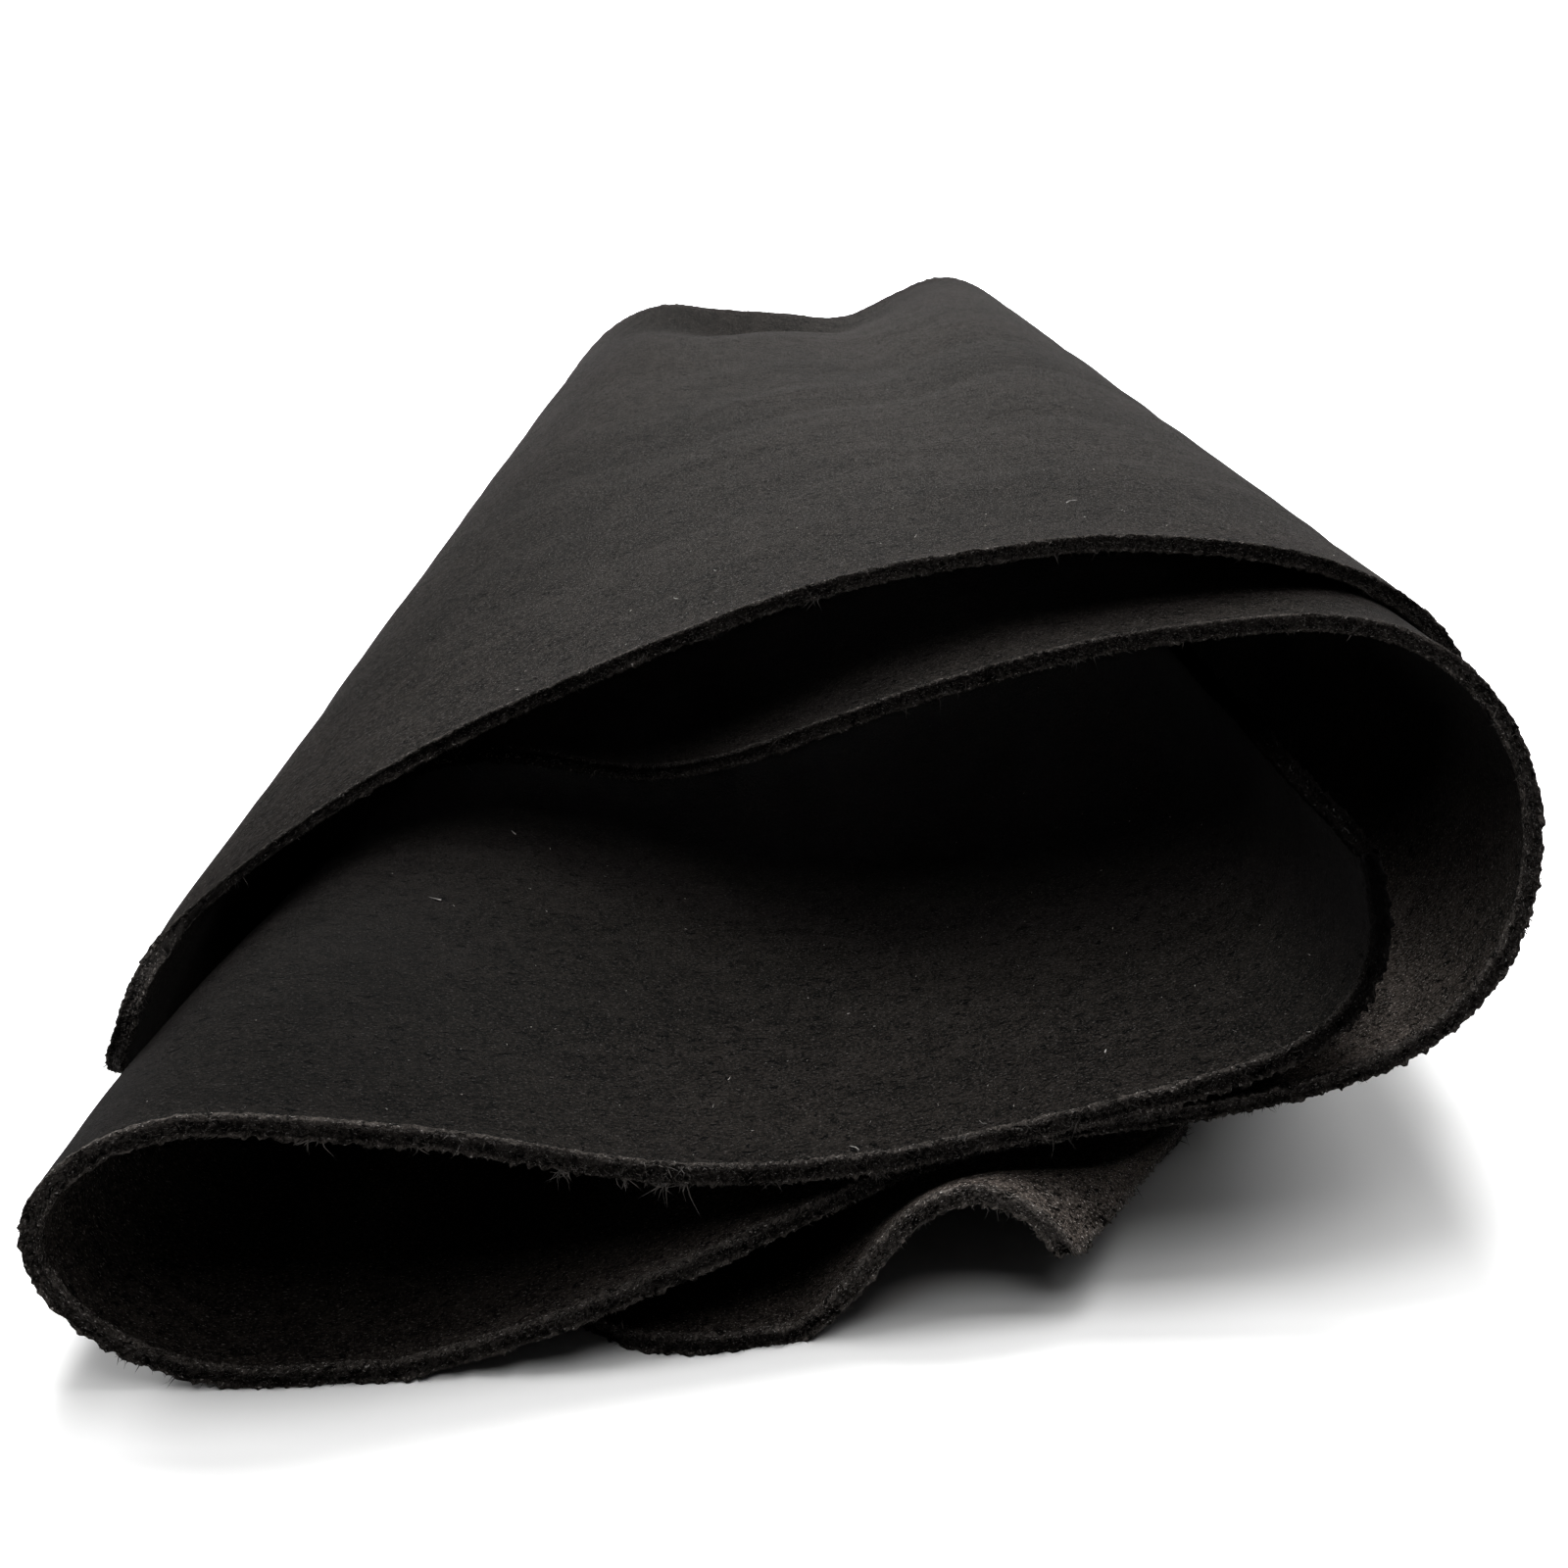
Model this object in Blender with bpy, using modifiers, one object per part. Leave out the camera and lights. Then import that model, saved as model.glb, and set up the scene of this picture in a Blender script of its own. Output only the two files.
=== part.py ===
"""A cut of dark suede split hide, rolled loosely and pressed flat, lying on a level surface.

One sheet of leather 1.5 mm thick. It starts at an inner edge that curls up inside the roll, runs
left to a loop that shows low at the left, and back to the right. From there it goes up round the
right side, left over the top, down and back under the roll, and once more round the right and
over the top. It ends as the lowest layer, whose free corner buckles up at the near right.

+X is right, +Y is away from the near cut edges, +Z is up. The origin is at the middle of the
underside's box, on the surface that the hide lies on. The stations are in millimetres and give
the middle of the sheet's thickness, measured from the near face of the loop.
"""

from collections import namedtuple
from math import pi

import bmesh
import bpy
import numpy as np

MM = 0.001
THICKNESS = 1.5
FLOOR = THICKNESS / 2

# Between stations the cloth is cut into spans no longer than SPAN, and shorter where it bends,
# so that no two spans meet at more than TURN.
SPAN = 9.5
TURN = 14 * pi / 180
FINE_STEP = 0.5

# Where the rows of faces lie along the roll, as a share of the way from the near to the far edge.
DEPTHS = (0, 0.03, 0.07, 0.12, 0.18, 0.27, 0.45, 0.66, 0.82, 0.9, 0.945, 0.975, 1)

# near and far are where the cut edges pass the station: x, y, z. settle is how far in from the
# near edge the near shape has become the far one. ALL_THE_WAY means it changes evenly throughout.
Station = namedtuple("Station", "place near far settle")
ALL_THE_WAY = 300

INNER_LAYER = (
    Station("inner edge", (50.4, 18, 36), (47, 300, 35), ALL_THE_WAY),
    Station("curl", (51.3, 16, 29.5), (49.5, 300, 28.5), ALL_THE_WAY),
    Station("curl foot", (47.6, 15, 22), (46, 300, 20.5), ALL_THE_WAY),
    Station("right", (39, 14, 18.3), (38, 300, 16), ALL_THE_WAY),
    Station("middle", (12.2, 10, 13.5), (12, 300, 11.8), ALL_THE_WAY),
    Station("left of middle", (-4, 6, 14.4), (-4, 299, 13), 250),
    Station("rise to the loop", (-20, 3, 18.4), (-18.5, 298, 16.2), 180),
)
LOOP = (
    Station("top", (-34, 0, 21.7), (-30, 296, 18.8), 110),
    Station("shoulder", (-46.8, 0, 19.8), (-39, 295, 16.5), 120),
    Station("left", (-52.3, 0, 13), (-42, 295, 11.4), 115),
    Station("under", (-48.5, 0, 5.2), (-39, 295, 7), 90),
    Station("floor", (-38, 0, 0.8), (-31.5, 296, 5.5), 45),
    Station("leaving the floor", (-26, 1, 0.8), (-21, 297, 5.5), 45),
)
SECOND_LAYER = (
    Station("rise", (-12.2, 2, 4.6), (-8, 298, 6), 90),
    Station("middle", (4, 7.6, 9.3), (9, 299, 7.2), 150),
    Station("right of middle", (18.2, 14.2, 12), (23, 300, 8.8), 220),
    Station("right", (35, 15, 14.6), (40, 300, 11.2), 280),
    Station("bend foot", (49.5, 17, 17), (53, 301, 16), ALL_THE_WAY),
    Station("bend low", (60.5, 21, 21.4), (62.4, 302, 23), ALL_THE_WAY),
    Station("bend side", (67.6, 28, 29.8), (66, 304, 32), ALL_THE_WAY),
    Station("bend high", (67.7, 36, 40.4), (63, 306, 41), ALL_THE_WAY),
    Station("bend top", (64.8, 40, 44.8), (60, 308, 44.2), ALL_THE_WAY),
)
UPPER_LAYER = (
    Station("shoulder", (60.5, 45, 47.1), (55, 310, 45.5), ALL_THE_WAY),
    Station("right", (49.5, 51.5, 47), (44, 312, 45.5), ALL_THE_WAY),
    Station("middle", (12.8, 59, 36.6), (10.5, 314, 36), ALL_THE_WAY),
    Station("dip", (-11.5, 79, 24.8), (-11, 312, 32.6), ALL_THE_WAY),
    Station("hump", (-26, 79, 27), (-25.5, 308, 34.4), ALL_THE_WAY),
    Station("left turn", (-40.5, 81, 22.5), (-38.5, 304, 26.5), ALL_THE_WAY),
)
HIDDEN_LAYER = (
    Station("left side", (-46.2, 92, 13), (-45.4, 302, 13), ALL_THE_WAY),
    Station("left foot", (-40.5, 94, 4.5), (-39, 302, 4.4), ALL_THE_WAY),
    Station("left", (-26, 90, 3), (-24.5, 302, 3.1), ALL_THE_WAY),
    Station("middle", (8, 76, 2.9), (9, 304, 2.9), ALL_THE_WAY),
    Station("right", (42, 66, 2.9), (43, 308, 2.9), ALL_THE_WAY),
    Station("bend foot", (60, 62, 6.6), (61, 312, 6.2), ALL_THE_WAY),
    Station("bend low", (69.5, 62, 17), (70.5, 316, 16), ALL_THE_WAY),
    Station("bend side", (72.2, 62, 30), (73, 322, 30), ALL_THE_WAY),
)
TOP_LAYER = (
    Station("shoulder", (69.8, 60, 42.1), (69, 334, 44), ALL_THE_WAY),
    Station("right", (59, 61, 49.9), (59, 336, 52.4), ALL_THE_WAY),
    Station("crest", (38, 63, 52.5), (42.3, 330, 58.4), ALL_THE_WAY),
    Station("valley", (27, 65, 51.2), (25.7, 328, 51.8), ALL_THE_WAY),
    Station("middle", (14.4, 67, 48.7), (14, 325, 52.5), ALL_THE_WAY),
    Station("left of middle", (-15.4, 77, 35.8), (-5, 315, 54.6), ALL_THE_WAY),
    Station("left slope", (-41.2, 59, 26.4), (-19.5, 306, 53.7), ALL_THE_WAY),
    Station("left shoulder", (-48.6, 33, 24.6), (-28.4, 304, 46.8), ALL_THE_WAY),
    Station("left side", (-50.4, 22, 20.5), (-38.4, 303, 33), ALL_THE_WAY),
    Station("left low", (-53.7, 33, 11.2), (-49.2, 303, 16), ALL_THE_WAY),
)
LOWEST_LAYER = (
    Station("left foot", (-52, 56, 2.6), (-46.5, 303, 3.4), ALL_THE_WAY),
    Station("left", (-38, 62, 0.4), (-32, 303, 0.4), 200),
    Station("middle", (-11.5, 7.4, 0.4), (-2, 303, 0.4), 80),
    Station("right", (4.4, 5.6, 0.6), (15, 302, 0.4), 45),
    Station("buckle foot", (8.7, 6.2, 4.2), (21.5, 302, 0.4), 38),
    Station("buckle rise", (12.7, 7, 8.9), (27.5, 302, 0.4), 30),
    Station("buckle crest", (18.2, 8.2, 11.1), (33.5, 301, 0.4), 25),
    Station("buckle fall", (23.8, 8.8, 8.3), (39, 301, 0.4), 35),
    Station("free corner", (26.2, 9.4, 5.1), (43, 300, 0.4), 42),
)
LAYERS = (INNER_LAYER, LOOP, SECOND_LAYER, UPPER_LAYER, HIDDEN_LAYER, TOP_LAYER, LOWEST_LAYER)

# A trough across the top layer's far edge: the cloth falls away behind its lip and turns up again.
DIMPLE_X = 5
DIMPLE_HALF_WIDTH = 19
DIMPLE_FROM_FAR_EDGE = 17
DIMPLE_HALF_LENGTH = 14
DIMPLE_DEPTH = 5.5

# The material, as seen in soft daylight.
SUEDE = {"Base Color": (0.045, 0.039, 0.036, 1), "Roughness": 0.95, "Metallic": 0}


def spline(knots, values, at):
    """Points at the given places on a natural cubic spline through one row of values a knot."""
    gaps = np.diff(knots)
    count = len(knots)
    system = np.eye(count)
    slopes = np.diff(values, axis=0) / gaps[:, None]
    pull = np.zeros_like(values)
    for i in range(1, count - 1):
        system[i, i - 1 : i + 2] = gaps[i - 1], 2 * (gaps[i - 1] + gaps[i]), gaps[i]
        pull[i] = 6 * (slopes[i] - slopes[i - 1])
    bend = np.linalg.solve(system, pull)
    i = np.clip(np.searchsorted(knots, at, side="right") - 1, 0, count - 2)
    gap = gaps[i, None]
    after = (at - knots[i])[:, None] / gap
    before = 1 - after
    curved = ((before**3 - before) * bend[i] + (after**3 - after) * bend[i + 1]) * gap**2 / 6
    return before * values[i] + after * values[i + 1] + curved


def along(points):
    """How far along its own section each point lies, seen down the roll."""
    steps = np.linalg.norm(np.diff(points[:, [0, 2]], axis=0), axis=1)
    return np.concatenate([[0], np.cumsum(steps)])


def spans(near):
    """Indices of a finely divided section's points that part it into long and short spans."""
    step = np.diff(near[:, [0, 2]], axis=0)
    heading = np.unwrap(np.arctan2(step[:, 1], step[:, 0]))
    turn = np.concatenate([[0], np.abs(np.diff(heading)), [0]])
    length = np.concatenate([[0], np.linalg.norm(step, axis=1)])
    used = np.cumsum(length / SPAN + turn / TURN)
    count = int(np.ceil(used[-1]))
    return np.unique(np.searchsorted(used, np.linspace(0, used[-1], count + 1)).clip(0, len(near) - 1))


def dimple(x, y, far_y):
    """How far the top layer is pressed down at a place near its far edge."""
    across = np.exp(-(((x - DIMPLE_X) / DIMPLE_HALF_WIDTH) ** 2))
    inward = (far_y - DIMPLE_FROM_FAR_EDGE - y) / DIMPLE_HALF_LENGTH
    return DIMPLE_DEPTH * across * np.exp(-(inward**2))


def middle_surface():
    """The middle of the sheet's thickness, as an array of points: along the section, then depth."""
    stations = [station for layer in LAYERS for station in layer]
    near = np.array([station.near for station in stations], float)
    far = np.array([station.far for station in stations], float)
    settle = np.array([[station.settle] for station in stations], float)
    knots = (along(near) + along(far)) / 2
    places = np.arange(0, knots[-1], FINE_STEP)
    places = places[spans(spline(knots, near, places))]
    near, far, settle = (spline(knots, values, places)[:, None] for values in (near, far, settle))
    settle = settle.clip(min(station.settle for station in stations), ALL_THE_WAY)

    depth = np.array(DEPTHS)[None, :, None]
    y = near[..., 1:2] + (far - near)[..., 1:2] * depth
    settled = (depth * (far - near)[..., 1:2] / settle).clip(0, 1)
    soft = ((ALL_THE_WAY - settle) / 100).clip(0, 1)
    share = (1 - soft) * depth + soft * settled**2 * (3 - 2 * settled)
    points = near + (far - near) * share
    points[..., 1:2] = y

    top_start = knots[sum(map(len, LAYERS[:5]))]
    top_end = knots[sum(map(len, LAYERS[:6])) - 1]
    on_top = (places > top_start) & (places < top_end)
    x, y, z = np.moveaxis(points[on_top], -1, 0)
    points[on_top, :, 2] = z - dimple(x, y, far[on_top, :, 1])
    points[..., 2] = points[..., 2].clip(FLOOR)
    return points


def suede():
    material = bpy.data.materials.new("dark suede")
    material.use_nodes = True
    shader = material.node_tree.nodes["Principled BSDF"]
    for name, value in SUEDE.items():
        shader.inputs[name].default_value = value
    return material


def hide(collection):
    """The sheet as an open surface of quads, thickened evenly to both sides."""
    points = middle_surface()
    low, high = points.reshape(-1, 3).min(0), points.reshape(-1, 3).max(0)
    centre = np.array([(low[0] + high[0]) / 2, (low[1] + high[1]) / 2, 0])
    body = bmesh.new()
    rows = [[body.verts.new((point - centre) * MM) for point in row] for row in points]
    for row, following in zip(rows, rows[1:]):
        for a, b, c, d in zip(row, following, following[1:], row[1:]):
            body.faces.new((a, b, c, d)).smooth = True
    mesh = bpy.data.meshes.new("hide")
    body.to_mesh(mesh)
    body.free()
    sheet = bpy.data.objects.new("hide", mesh)
    collection.objects.link(sheet)
    sheet.data.materials.append(suede())
    shell = sheet.modifiers.new("thickness", "SOLIDIFY")
    shell.thickness = THICKNESS * MM
    shell.offset = 0
    shell.use_even_offset = True


for old in list(bpy.data.objects):
    bpy.data.objects.remove(old, do_unlink=True)
group = bpy.data.collections.new("leather hide")
bpy.context.scene.collection.children.link(group)
hide(group)
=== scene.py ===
"""The looks of a cut of dark suede, rolled loosely, pressed flat and lying on a white surface.

The sheet is made again on the same stations as its solid, finer and a little uneven, with a
ragged cut edge, loose fibres along the cut and a short nap. Sizes in the tables are millimetres:
x runs to the right, y away from the near face of the loop and z up from the white surface.
to_frame() moves what is built from them to the frame and scales it to metres.
"""

from collections import namedtuple
from math import pi

import bpy
import numpy as np
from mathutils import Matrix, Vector


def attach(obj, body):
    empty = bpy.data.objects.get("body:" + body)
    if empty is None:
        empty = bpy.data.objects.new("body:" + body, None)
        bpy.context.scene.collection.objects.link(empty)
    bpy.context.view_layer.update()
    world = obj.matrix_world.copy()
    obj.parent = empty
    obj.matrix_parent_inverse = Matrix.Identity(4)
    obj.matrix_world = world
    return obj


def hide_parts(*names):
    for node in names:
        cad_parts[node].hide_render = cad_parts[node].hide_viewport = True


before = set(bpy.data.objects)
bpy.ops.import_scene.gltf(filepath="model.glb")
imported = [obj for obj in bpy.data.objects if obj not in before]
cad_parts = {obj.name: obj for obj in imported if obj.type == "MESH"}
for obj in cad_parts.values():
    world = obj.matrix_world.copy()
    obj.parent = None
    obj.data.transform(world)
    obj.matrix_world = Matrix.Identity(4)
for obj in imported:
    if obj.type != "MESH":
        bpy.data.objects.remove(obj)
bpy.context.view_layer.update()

MM = 0.001
THICKNESS = 1.5
# The middle of the sheet's thickness lies no lower than this, so that the sheet stays on the floor.
FLOOR = THICKNESS / 2
# Where the frame's origin is in the tables' millimetres.
ORIGIN = np.array([9.544, 168.109, 0])
# What would reach below the frame's floor is raised to this height, in metres.
LOWEST = 0.00002

# near and far are where the cut edges pass the station: x, y, z. settle is how far in from the
# near edge the near shape has become the far one. ALL_THE_WAY means it changes evenly throughout.
# A settle shorter than that by SOFT_SETTLE or more means it starts and ends the change gently.
Station = namedtuple("Station", "place near far settle")
ALL_THE_WAY = 300
SOFT_SETTLE = 100

INNER_LAYER = (
    Station("inner edge", (50.4, 18, 36), (47, 300, 35), ALL_THE_WAY),
    Station("curl", (51.3, 16, 29.5), (49.5, 300, 28.5), ALL_THE_WAY),
    Station("curl foot", (47.6, 15, 22), (46, 300, 20.5), ALL_THE_WAY),
    Station("right", (39, 14, 18.3), (38, 300, 16), ALL_THE_WAY),
    Station("middle", (12.2, 10, 13.5), (12, 300, 11.8), ALL_THE_WAY),
    Station("left of middle", (-4, 6, 14.4), (-4, 299, 13), 250),
    Station("rise to the loop", (-20, 3, 18.4), (-18.5, 298, 16.2), 180),
)
LOOP = (
    Station("top", (-34, 0, 21.7), (-30, 296, 18.8), 110),
    Station("shoulder", (-46.8, 0, 19.8), (-39, 295, 16.5), 120),
    Station("left", (-52.3, 0, 13), (-42, 295, 11.4), 115),
    Station("under", (-48.5, 0, 5.2), (-39, 295, 7), 90),
    Station("floor", (-38, 0, 0.8), (-31.5, 296, 5.5), 45),
    Station("leaving the floor", (-26, 1, 0.8), (-21, 297, 5.5), 45),
)
SECOND_LAYER = (
    Station("rise", (-12.2, 2, 4.6), (-8, 298, 6), 90),
    Station("middle", (4, 7.6, 9.3), (9, 299, 7.2), 150),
    Station("right of middle", (18.2, 14.2, 12), (23, 300, 8.8), 220),
    Station("right", (35, 15, 14.6), (40, 300, 11.2), 280),
    Station("bend foot", (49.5, 17, 17), (53, 301, 16), ALL_THE_WAY),
    Station("bend low", (60.5, 21, 21.4), (62.4, 302, 23), ALL_THE_WAY),
    Station("bend side", (67.6, 28, 29.8), (66, 304, 32), ALL_THE_WAY),
    Station("bend high", (67.7, 36, 40.4), (63, 306, 41), ALL_THE_WAY),
    Station("bend top", (64.8, 40, 44.8), (60, 308, 44.2), ALL_THE_WAY),
)
UPPER_LAYER = (
    Station("shoulder", (60.5, 45, 47.1), (55, 310, 45.5), ALL_THE_WAY),
    Station("right", (49.5, 51.5, 47), (44, 312, 45.5), ALL_THE_WAY),
    Station("middle", (12.8, 59, 36.6), (10.5, 314, 36), ALL_THE_WAY),
    Station("dip", (-11.5, 79, 24.8), (-11, 312, 32.6), ALL_THE_WAY),
    Station("hump", (-26, 79, 27), (-25.5, 308, 34.4), ALL_THE_WAY),
    Station("left turn", (-40.5, 81, 22.5), (-38.5, 304, 26.5), ALL_THE_WAY),
)
HIDDEN_LAYER = (
    Station("left side", (-46.2, 92, 13), (-45.4, 302, 13), ALL_THE_WAY),
    Station("left foot", (-40.5, 94, 4.5), (-39, 302, 4.4), ALL_THE_WAY),
    Station("left", (-26, 90, 3), (-24.5, 302, 3.1), ALL_THE_WAY),
    Station("middle", (8, 76, 2.9), (9, 304, 2.9), ALL_THE_WAY),
    Station("right", (42, 66, 2.9), (43, 308, 2.9), ALL_THE_WAY),
    Station("bend foot", (60, 62, 6.6), (61, 312, 6.2), ALL_THE_WAY),
    Station("bend low", (69.5, 62, 17), (70.5, 316, 16), ALL_THE_WAY),
    Station("bend side", (72.2, 62, 30), (73, 322, 30), ALL_THE_WAY),
)
TOP_LAYER = (
    Station("shoulder", (69.8, 60, 42.1), (69, 334, 44), ALL_THE_WAY),
    Station("right", (59, 61, 49.9), (59, 336, 52.4), ALL_THE_WAY),
    Station("crest", (38, 63, 52.5), (42.3, 330, 58.4), ALL_THE_WAY),
    Station("valley", (27, 65, 51.2), (25.7, 328, 51.8), ALL_THE_WAY),
    Station("middle", (14.4, 67, 48.7), (14, 325, 52.5), ALL_THE_WAY),
    Station("left of middle", (-15.4, 77, 35.8), (-5, 315, 54.6), ALL_THE_WAY),
    Station("left slope", (-41.2, 59, 26.4), (-19.5, 306, 53.7), ALL_THE_WAY),
    Station("left shoulder", (-48.6, 33, 24.6), (-28.4, 304, 46.8), ALL_THE_WAY),
    Station("left side", (-50.4, 22, 20.5), (-38.4, 303, 33), ALL_THE_WAY),
    Station("left low", (-53.7, 33, 11.2), (-49.2, 303, 16), ALL_THE_WAY),
)
LOWEST_LAYER = (
    Station("left foot", (-52, 56, 2.6), (-46.5, 303, 3.4), ALL_THE_WAY),
    Station("left", (-38, 62, 0.4), (-32, 303, 0.4), 200),
    Station("middle", (-11.5, 7.4, 0.4), (-2, 303, 0.4), 80),
    Station("right", (4.4, 5.6, 0.6), (15, 302, 0.4), 45),
    Station("buckle foot", (8.7, 6.2, 4.2), (21.5, 302, 0.4), 38),
    Station("buckle rise", (12.7, 7, 8.9), (27.5, 302, 0.4), 30),
    Station("buckle crest", (18.2, 8.2, 11.1), (33.5, 301, 0.4), 25),
    Station("buckle fall", (23.8, 8.8, 8.3), (39, 301, 0.4), 35),
    Station("free corner", (26.2, 9.4, 5.1), (43, 300, 0.4), 42),
)
LAYERS = (INNER_LAYER, LOOP, SECOND_LAYER, UPPER_LAYER, HIDDEN_LAYER, TOP_LAYER, LOWEST_LAYER)

# A trough across the top layer's far edge: the cloth falls away behind its lip and turns up again.
DIMPLE_X = 5
DIMPLE_HALF_WIDTH = 19
DIMPLE_FROM_FAR_EDGE = 17
DIMPLE_HALF_LENGTH = 14
DIMPLE_DEPTH = 5.5

# Soft troughs and ridges pressed into the top layer: the middle and half size of each, and how
# deep it is. A ridge has a depth below zero. slant is how far it runs in, for each mm to the right.
Crease = namedtuple("Crease", "x y half_length half_width slant depth")
CREASES = (
    Crease(20, 182, 40, 4.5, 0.10, 0.40),
    Crease(8, 200, 34, 5.0, 0.08, -0.35),
    Crease(30, 222, 30, 6.0, 0.05, 0.35),
    Crease(-6, 160, 26, 5.0, 0.14, -0.28),
    Crease(36, 140, 24, 6.0, -0.05, 0.30),
    Crease(2, 122, 30, 7.0, 0.12, 0.30),
    Crease(24, 96, 28, 6.0, 0.10, -0.28),
    Crease(-22, 90, 16, 7.0, 0.20, 0.35),
    Crease(46, 250, 20, 6.0, 0.0, -0.35),
    Crease(-12, 240, 18, 8.0, 0.15, 0.40),
    Crease(20, 268, 26, 7.0, 0.06, -0.40),
    Crease(50, 108, 14, 8.0, 0.0, 0.30),
)

# How far a crease wanders from its line, and how long the waves are in which it does.
CREASE_WANDER = 2.5
CREASE_WANDER_SIZE = 22
# How far along the cut the creases fade in and out at the top layer's two ends.
TOP_FADE = 12

# How uneven the sheet is: the height, size and seed of each set of lumps.
SHEET_LUMPS = ((0.14, 16, 1), (0.06, 6, 2))

# The sheet's grid: spans along the cut are no longer than SPAN and turn by TURN at most, measured
# at every FINE_STEP. ROWS gives the spacing of the rows at places in from the near edge, and the
# grid ends EDGE_INSET in from the cut.
SPAN = 3.0
TURN = 9 * pi / 180
FINE_STEP = 0.5
ROWS = ((0, 1.5), (50, 2.2), (110, 4.4), (250, 4.0), (292, 1.8))
EDGE_INSET = 0.9


def spline(knots, values, at):
    """Points at the given places on a natural cubic spline through one row of values a knot."""
    gaps = np.diff(knots)
    count = len(knots)
    system = np.eye(count)
    slopes = np.diff(values, axis=0) / gaps[:, None]
    pull = np.zeros_like(values)
    for i in range(1, count - 1):
        system[i, i - 1 : i + 2] = gaps[i - 1], 2 * (gaps[i - 1] + gaps[i]), gaps[i]
        pull[i] = 6 * (slopes[i] - slopes[i - 1])
    bend = np.linalg.solve(system, pull)
    i = np.clip(np.searchsorted(knots, at, side="right") - 1, 0, count - 2)
    gap = gaps[i, None]
    after = (at - knots[i])[:, None] / gap
    before = 1 - after
    curved = ((before**3 - before) * bend[i] + (after**3 - after) * bend[i + 1]) * gap**2 / 6
    return before * values[i] + after * values[i + 1] + curved


def along(points):
    """How far along its own section each point lies, seen down the roll."""
    steps = np.linalg.norm(np.diff(points[:, [0, 2]], axis=0), axis=1)
    return np.concatenate([[0], np.cumsum(steps)])


STATIONS = [station for layer in LAYERS for station in layer]
NEAR = np.array([station.near for station in STATIONS], float)
FAR = np.array([station.far for station in STATIONS], float)
SETTLE = np.array([[station.settle] for station in STATIONS], float)
KNOTS = (along(NEAR) + along(FAR)) / 2
LENGTH = KNOTS[-1]
TOP_START = KNOTS[sum(map(len, LAYERS[:5]))]
TOP_END = KNOTS[sum(map(len, LAYERS[:6])) - 1]

# Random heights at the corners of a grid of cells, and how far each seed moves over it.
CELLS = 256
LATTICE = np.random.default_rng(11).uniform(-1, 1, (CELLS, CELLS))
SEED_U, SEED_V = 31.7, 17.3


def lumps(u, v, size, seed):
    """Smooth random heights from -1 to 1, in lumps of about the given size."""
    u, v = u / size + SEED_U * seed, v / size + SEED_V * seed
    i, j = np.floor(u).astype(int), np.floor(v).astype(int)
    a, b = u - i, v - j
    a, b = a * a * (3 - 2 * a), b * b * (3 - 2 * b)
    i, j, next_i, next_j = i % CELLS, j % CELLS, (i + 1) % CELLS, (j + 1) % CELLS
    low = LATTICE[i, j] * (1 - a) + LATTICE[next_i, j] * a
    high = LATTICE[i, next_j] * (1 - a) + LATTICE[next_i, next_j] * a
    return low * (1 - b) + high * b


def uneven(u, v, sets, seed=0):
    """Heights of several sets of lumps, each given by its height, size and seed."""
    return sum(height * lumps(u, v, size, seed + own) for height, size, own in sets)


def dimple(x, y, far_y):
    """How far the top layer is pressed down at a place near its far edge."""
    across = np.exp(-(((x - DIMPLE_X) / DIMPLE_HALF_WIDTH) ** 2))
    inward = (far_y - DIMPLE_FROM_FAR_EDGE - y) / DIMPLE_HALF_LENGTH
    return DIMPLE_DEPTH * across * np.exp(-(inward**2))


def creased(x, y):
    """How far the soft troughs press the top layer down."""
    down = np.zeros_like(x)
    for c in CREASES:
        across = (x - c.x) / c.half_length
        wander = CREASE_WANDER * lumps(x, y, CREASE_WANDER_SIZE, 5)
        inward = (y - c.y - c.slant * (x - c.x) + wander) / c.half_width
        down += c.depth * np.exp(-(across**2) - inward**2)
    return down


# The cut's short side runs straight back from the free corner: how far it moves to the right, how
# far in from the near edge it moves most, and how far along the cut the move fades out. It grows by
# CORNER_POWER towards the end of the cut, and stops growing at CORNER_MOST just beyond the end.
CORNER_SHIFT = 3.4
CORNER_REACH = 12
CORNER_FADE = 26
CORNER_POWER = 1.5
CORNER_MOST = 1.1


def corner_shift(at, inset):
    """How far to the right the sheet moves near the free corner."""
    share = ((at - LENGTH + CORNER_FADE) / CORNER_FADE).clip(0, CORNER_MOST) ** CORNER_POWER
    inward = (inset / CORNER_REACH).clip(0)
    return CORNER_SHIFT * share * inward * np.exp(1 - inward)


def middle(place, inset, from_far=False):
    """Points in the middle of the sheet's thickness.

    place is how far along the cut they are, and inset how far in from the near edge, or from the
    far one. Both are arrays in millimetres that broadcast together.
    """
    at = np.atleast_1d(place)
    near, far, settle = (
        spline(KNOTS, values, at.ravel()).reshape(*at.shape, -1) for values in (NEAR, FAR, SETTLE)
    )
    settle = settle.clip(SETTLE.min(), ALL_THE_WAY)
    reach = (far - near)[..., 1]
    depth = (inset / reach)[..., None]
    if from_far:
        depth = 1 - depth
    y = near[..., 1:2] + (far - near)[..., 1:2] * depth
    settled = (depth * (far - near)[..., 1:2] / settle).clip(0, 1)
    soft = ((ALL_THE_WAY - settle) / SOFT_SETTLE).clip(0, 1)
    share = (1 - soft) * depth + soft * settled**2 * (3 - 2 * settled)
    points = near + (far - near) * share
    points[..., 1:2] = y
    points[..., 0] += corner_shift(at, reach - inset if from_far else inset)

    x, y, z = np.moveaxis(points, -1, 0)
    on_top = ((at - TOP_START) / TOP_FADE).clip(0, 1) * ((TOP_END - at) / TOP_FADE).clip(0, 1)
    on_layer = (at > TOP_START) & (at < TOP_END)
    z = z - np.where(on_layer, dimple(x, y, far[..., 1]), 0) - on_top * creased(x, y)
    points[..., 2] = z.clip(FLOOR)
    return points


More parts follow.
